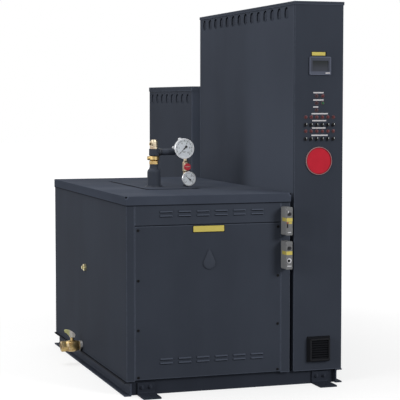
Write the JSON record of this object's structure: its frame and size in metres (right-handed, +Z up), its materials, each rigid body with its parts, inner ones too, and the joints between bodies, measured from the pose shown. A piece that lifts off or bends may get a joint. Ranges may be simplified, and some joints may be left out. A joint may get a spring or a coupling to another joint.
{
  "type": "industrial boiler",
  "caption": "Skid-mounted electric boiler: louvred jacket with lid piping and gauges, tall vented control cabinet at its side, power cabinet behind, brass drain valve.",
  "frame": {"origin": "on the floor, under the middle of the boiler's own skid: the underside of the middle cross member", "axes": "+X to the right of the front, +Y to the back, +Z up"},
  "size_m": [1.3015, 2.846, 2],
  "materials": {
    "skid_paint": "satin black-blue paint on rolled channel",
    "dark_paint": "satin dark slate paint",
    "lid_paint": "smoother dark slate paint",
    "brass": "cast and machined brass",
    "steel": "plated steel",
    "gauge": "bright case with a pale dial",
    "limit_grey": "light grey paint",
    "black_plastic": "matt black",
    "bezel_plastic": "dark grey plastic",
    "screen": "dull display glass",
    "red_lens": "red lens",
    "dark_lens": "unlit dark red lens",
    "green_lens": "green lens",
    "red_plastic": "red plastic",
    "medallion": "red face, pale grey rim",
    "lever_plate": "pale coated steel"
  },
  "bodies": {
    "boiler": {"skid_rail_left": "skid_paint", "skid_rail_right": "skid_paint", "skid_beam_front": "skid_paint", "skid_beam_rear": "skid_paint", "skid_cross_members": "skid_paint", "skid_rail_inner": "skid_paint", "skid_beam_end": "skid_paint", "floor_clips_front": "skid_paint", "floor_clips_rear": "skid_paint", "vessel_block": "dark_paint", "side_panel_left": "dark_paint", "side_panel_right": "dark_paint", "rear_panel": "dark_paint", "upper_front_panel": "dark_paint", "access_panel": "dark_paint", "panel_pull": "dark_paint", "lid": "lid_paint", "service_plate": "lid_paint", "cabinet_body": "dark_paint", "cabinet_front": "dark_paint", "cabinet_cap": "dark_paint", "rear_cabinet": "dark_paint", "rear_cabinet_cap": "dark_paint", "wireway": "dark_paint", "display_bezel": "bezel_plastic", "display_screen": "screen", "lamps_red": "red_lens", "lamps_dark": "dark_lens", "lamp_green": "green_lens", "selector_switches": "black_plastic", "medallion": "medallion", "fan_grille": "black_plastic", "limit_control_upper": "limit_grey", "limit_control_lower": "limit_grey", "limit_knobs": "black_plastic", "vessel_nozzle": "dark_paint", "brass_union": "brass", "manifold_pipe": "dark_paint", "relief_valve": "brass", "gauge_cock": "brass", "gauge_riser": "dark_paint", "pressure_gauge": "gauge", "small_gauge": "gauge", "water_connections": "dark_paint", "drain_valve": "brass", "side_plug": "brass"},
    "drain_lever": {"drain_lever": "lever_plate"},
    "cock_knob": {"cock_knob": "red_plastic"}
  },
  "joints": [
    {"name": "drain_lever_turn", "type": "hinge", "parent": "boiler", "child": "drain_lever", "pos_m": [-0.641, 0.147, 0.154], "axis": [0, 0, 1], "range_deg": [0, 90]},
    {"name": "cock_knob_turn", "type": "hinge", "parent": "boiler", "child": "cock_knob", "pos_m": [-0.051, -0.146, 1.121], "axis": [0, -1, 0], "range_deg": [0, 90]}
  ]
}
